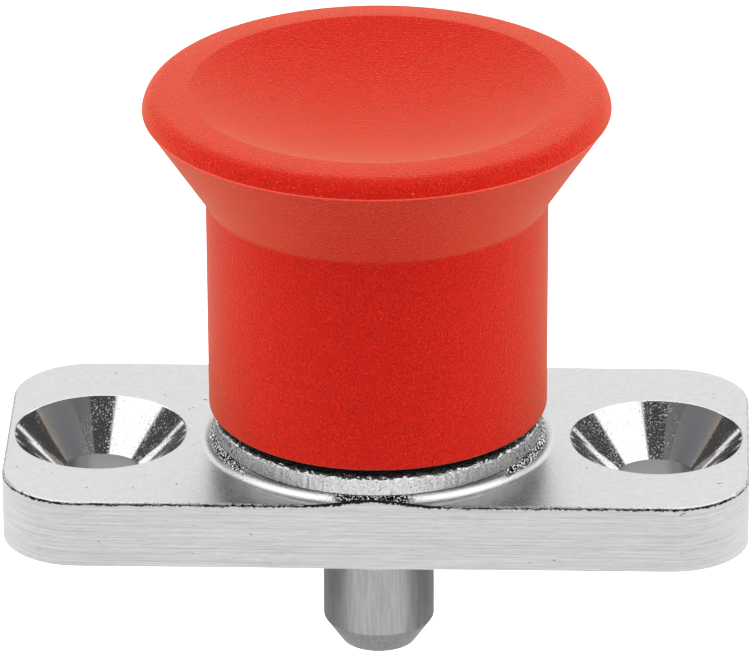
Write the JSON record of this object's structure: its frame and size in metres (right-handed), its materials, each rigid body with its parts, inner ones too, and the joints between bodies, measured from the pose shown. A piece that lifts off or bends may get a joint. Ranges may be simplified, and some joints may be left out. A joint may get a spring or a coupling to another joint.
{
  "type": "indexing plunger",
  "caption": "Spring-loaded indexing plunger with a flat mounting flange, countersunk screw holes, a chamfered locking pin and a flared pull knob with a dished top.",
  "frame": {"origin": "on the pin's axis, in the flange's mounting face", "axes": "+Z along the pin towards the knob, +X through the screw holes"},
  "size_m": [0.04, 0.025, 0.0323],
  "materials": {
    "plated_steel": "bright plated steel, brushed along the bar's sides and polished in the countersinks",
    "turned_steel": "turned steel, plain",
    "ground_steel": "hardened and ground steel, satin",
    "spring_steel": "drawn spring steel wire",
    "brass": "turned brass",
    "red_plastic": "traffic red moulded plastic with a fine matt grain"
  },
  "bodies": {
    "housing": {"mounting_flange": "plated_steel", "guide_sleeve": "turned_steel", "sleeve_cap": "brass", "retaining_ring": "spring_steel", "compression_spring": "spring_steel"},
    "carriage": {"thrust_washer": "turned_steel"},
    "puller": {"plunger_pin": "ground_steel", "knob": "red_plastic", "knob_insert": "brass"}
  },
  "joints": [
    {"name": "pull", "type": "slide", "parent": "housing", "child": "carriage", "axis": [0, 0, 1], "range_m": [0, 0.00635], "stiffness_N_per_m": 1040, "springref_m": -0.0058, "deforming": ["compression_spring"]},
    {"name": "knob_spin", "type": "hinge", "parent": "carriage", "child": "puller", "pos_m": [0, 0, 0], "axis": [0, 0, 1], "continuous": true}
  ]
}
